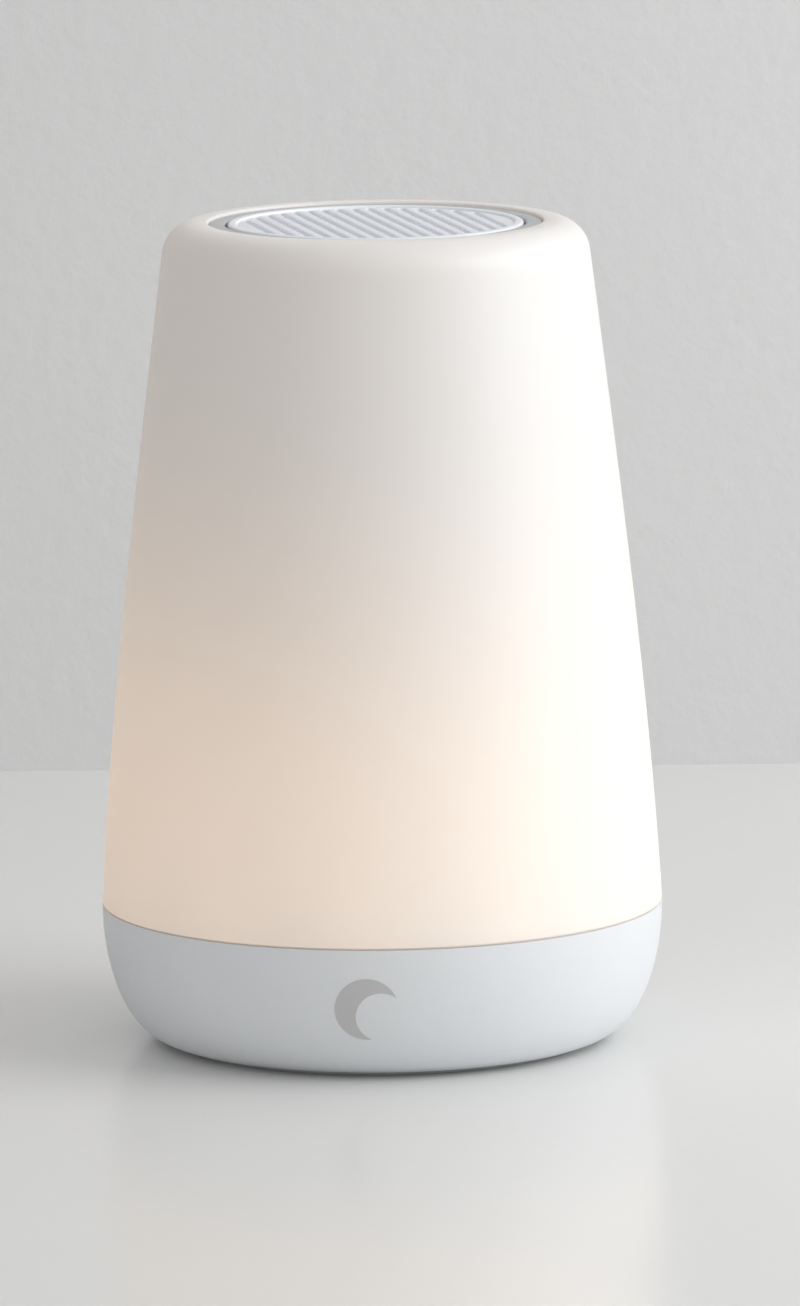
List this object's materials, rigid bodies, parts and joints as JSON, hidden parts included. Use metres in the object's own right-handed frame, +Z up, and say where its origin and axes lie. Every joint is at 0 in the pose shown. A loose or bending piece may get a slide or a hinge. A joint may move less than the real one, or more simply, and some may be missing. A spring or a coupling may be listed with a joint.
{
  "type": "smart speaker",
  "caption": "Bedside smart speaker with a tapered, frosted, lit shade on a round base, a slotted top grille inside a touch ring, rear press keys and a power inlet.",
  "frame": {"origin": "centre of the footprint, on the surface that the foot ring stands on", "axes": "+Z up along the shade's axis, -Y towards the front, +Y towards the rear keys and power inlet"},
  "size_m": [0.1078, 0.1078, 0.158],
  "materials": {
    "frosted_shade": "frosted translucent white, satin",
    "base_plastic": "fine matt moulded",
    "key_plastic": "fine matt moulded",
    "satin_ring": "satin",
    "grille_plastic": "fine matt moulded",
    "scrim_cloth": "fine woven",
    "foot_silicone": "matt silicone",
    "seam_silicone": "matt silicone",
    "seal_foam": "closed-cell foam",
    "white_inner_plastic": "matt reflective white",
    "white_circuit_board": "white solder mask",
    "circuit_board": "green solder mask",
    "black_plastic": "moulded",
    "nylon_socket": "moulded nylon",
    "shield_can": "tinned sheet",
    "capacitor_can": "plain can",
    "ferrite": "ground ferrite",
    "lamp_ceramic": "plain",
    "lamp_lens": "clear dome",
    "basket_steel": "black coated",
    "plated_steel": "zinc plated",
    "zinc_screw": "zinc plated",
    "nickel_contact": "nickel plated",
    "cone_paper": "pressed pulp",
    "dust_cap_cloth": "doped cloth",
    "surround_rubber": "butyl",
    "coil_former": "foil",
    "copper_winding": "enamelled copper",
    "spider_cloth": "resin-stiffened weave",
    "red_lead": "insulated wire",
    "black_lead": "insulated wire",
    "white_lead": "insulated wire"
  },
  "bodies": {
    "housing": {"amplifier_chip": "black_plastic", "base_screws": "zinc_screw", "base_shell": "base_plastic", "board_connectors": "nylon_socket", "board_screws": "zinc_screw", "capacitors": "capacitor_can", "column": "white_inner_plastic", "column_screws": "zinc_screw", "dc_jack": "black_plastic", "dc_jack_pin": "nickel_contact", "dc_jack_spring": "nickel_contact", "driver_basket": "basket_steel", "driver_gasket": "seal_foam", "driver_magnet": "ferrite", "driver_screws": "zinc_screw", "driver_spider": "spider_cloth", "driver_surround": "surround_rubber", "driver_terminals": "nickel_contact", "driver_top_plate": "plated_steel", "driver_yoke": "plated_steel", "foot_ring": "foot_silicone", "grille": "grille_plastic", "grille_scrim": "scrim_cloth", "lamp_lead": "white_lead", "led_board": "white_circuit_board", "led_board_screws": "zinc_screw", "led_chips": "lamp_ceramic", "led_connector": "nylon_socket", "led_lenses": "lamp_lens", "light_key_board": "circuit_board", "light_seal": "seam_silicone", "light_tray": "white_inner_plastic", "main_board": "circuit_board", "pod_screws": "zinc_screw", "power_inductor": "ferrite", "shade": "frosted_shade", "sound_key_board": "circuit_board", "speaker_lead_black": "black_lead", "speaker_lead_red": "red_lead", "speaker_pod": "white_inner_plastic", "tact_switches": "black_plastic", "touch_contact": "nickel_contact", "touch_lead": "white_lead", "touch_ring": "satin_ring", "wireless_module": "shield_can"},
    "light_down_key_body": {"light_down_key": "key_plastic", "light_down_stem": "black_plastic"},
    "light_up_key_body": {"light_up_key": "key_plastic", "light_up_stem": "black_plastic"},
    "sound_down_key_body": {"sound_down_key": "key_plastic", "sound_down_stem": "black_plastic"},
    "sound_up_key_body": {"sound_up_key": "key_plastic", "sound_up_stem": "black_plastic"},
    "cone_body": {"driver_cone": "cone_paper", "dust_cap": "dust_cap_cloth", "voice_coil": "coil_former", "coil_winding": "copper_winding"}
  },
  "joints": [
    {"name": "light_down_press", "type": "slide", "parent": "housing", "child": "light_down_key_body", "axis": [0, -1, 0], "range_m": [0, 0.0007], "stiffness_N_per_m": 1500},
    {"name": "light_up_press", "type": "slide", "parent": "housing", "child": "light_up_key_body", "axis": [0, -1, 0], "range_m": [0, 0.0007], "stiffness_N_per_m": 1500},
    {"name": "sound_down_press", "type": "slide", "parent": "housing", "child": "sound_down_key_body", "axis": [0, -1, 0], "range_m": [0, 0.0007], "stiffness_N_per_m": 1500},
    {"name": "sound_up_press", "type": "slide", "parent": "housing", "child": "sound_up_key_body", "axis": [0, -1, 0], "range_m": [0, 0.0007], "stiffness_N_per_m": 1500},
    {"name": "cone_stroke", "type": "slide", "parent": "housing", "child": "cone_body", "axis": [0, 0, 1], "range_m": [-0.0015, 0.0015], "stiffness_N_per_m": 1200, "deforming": ["driver_surround", "driver_spider"]}
  ]
}
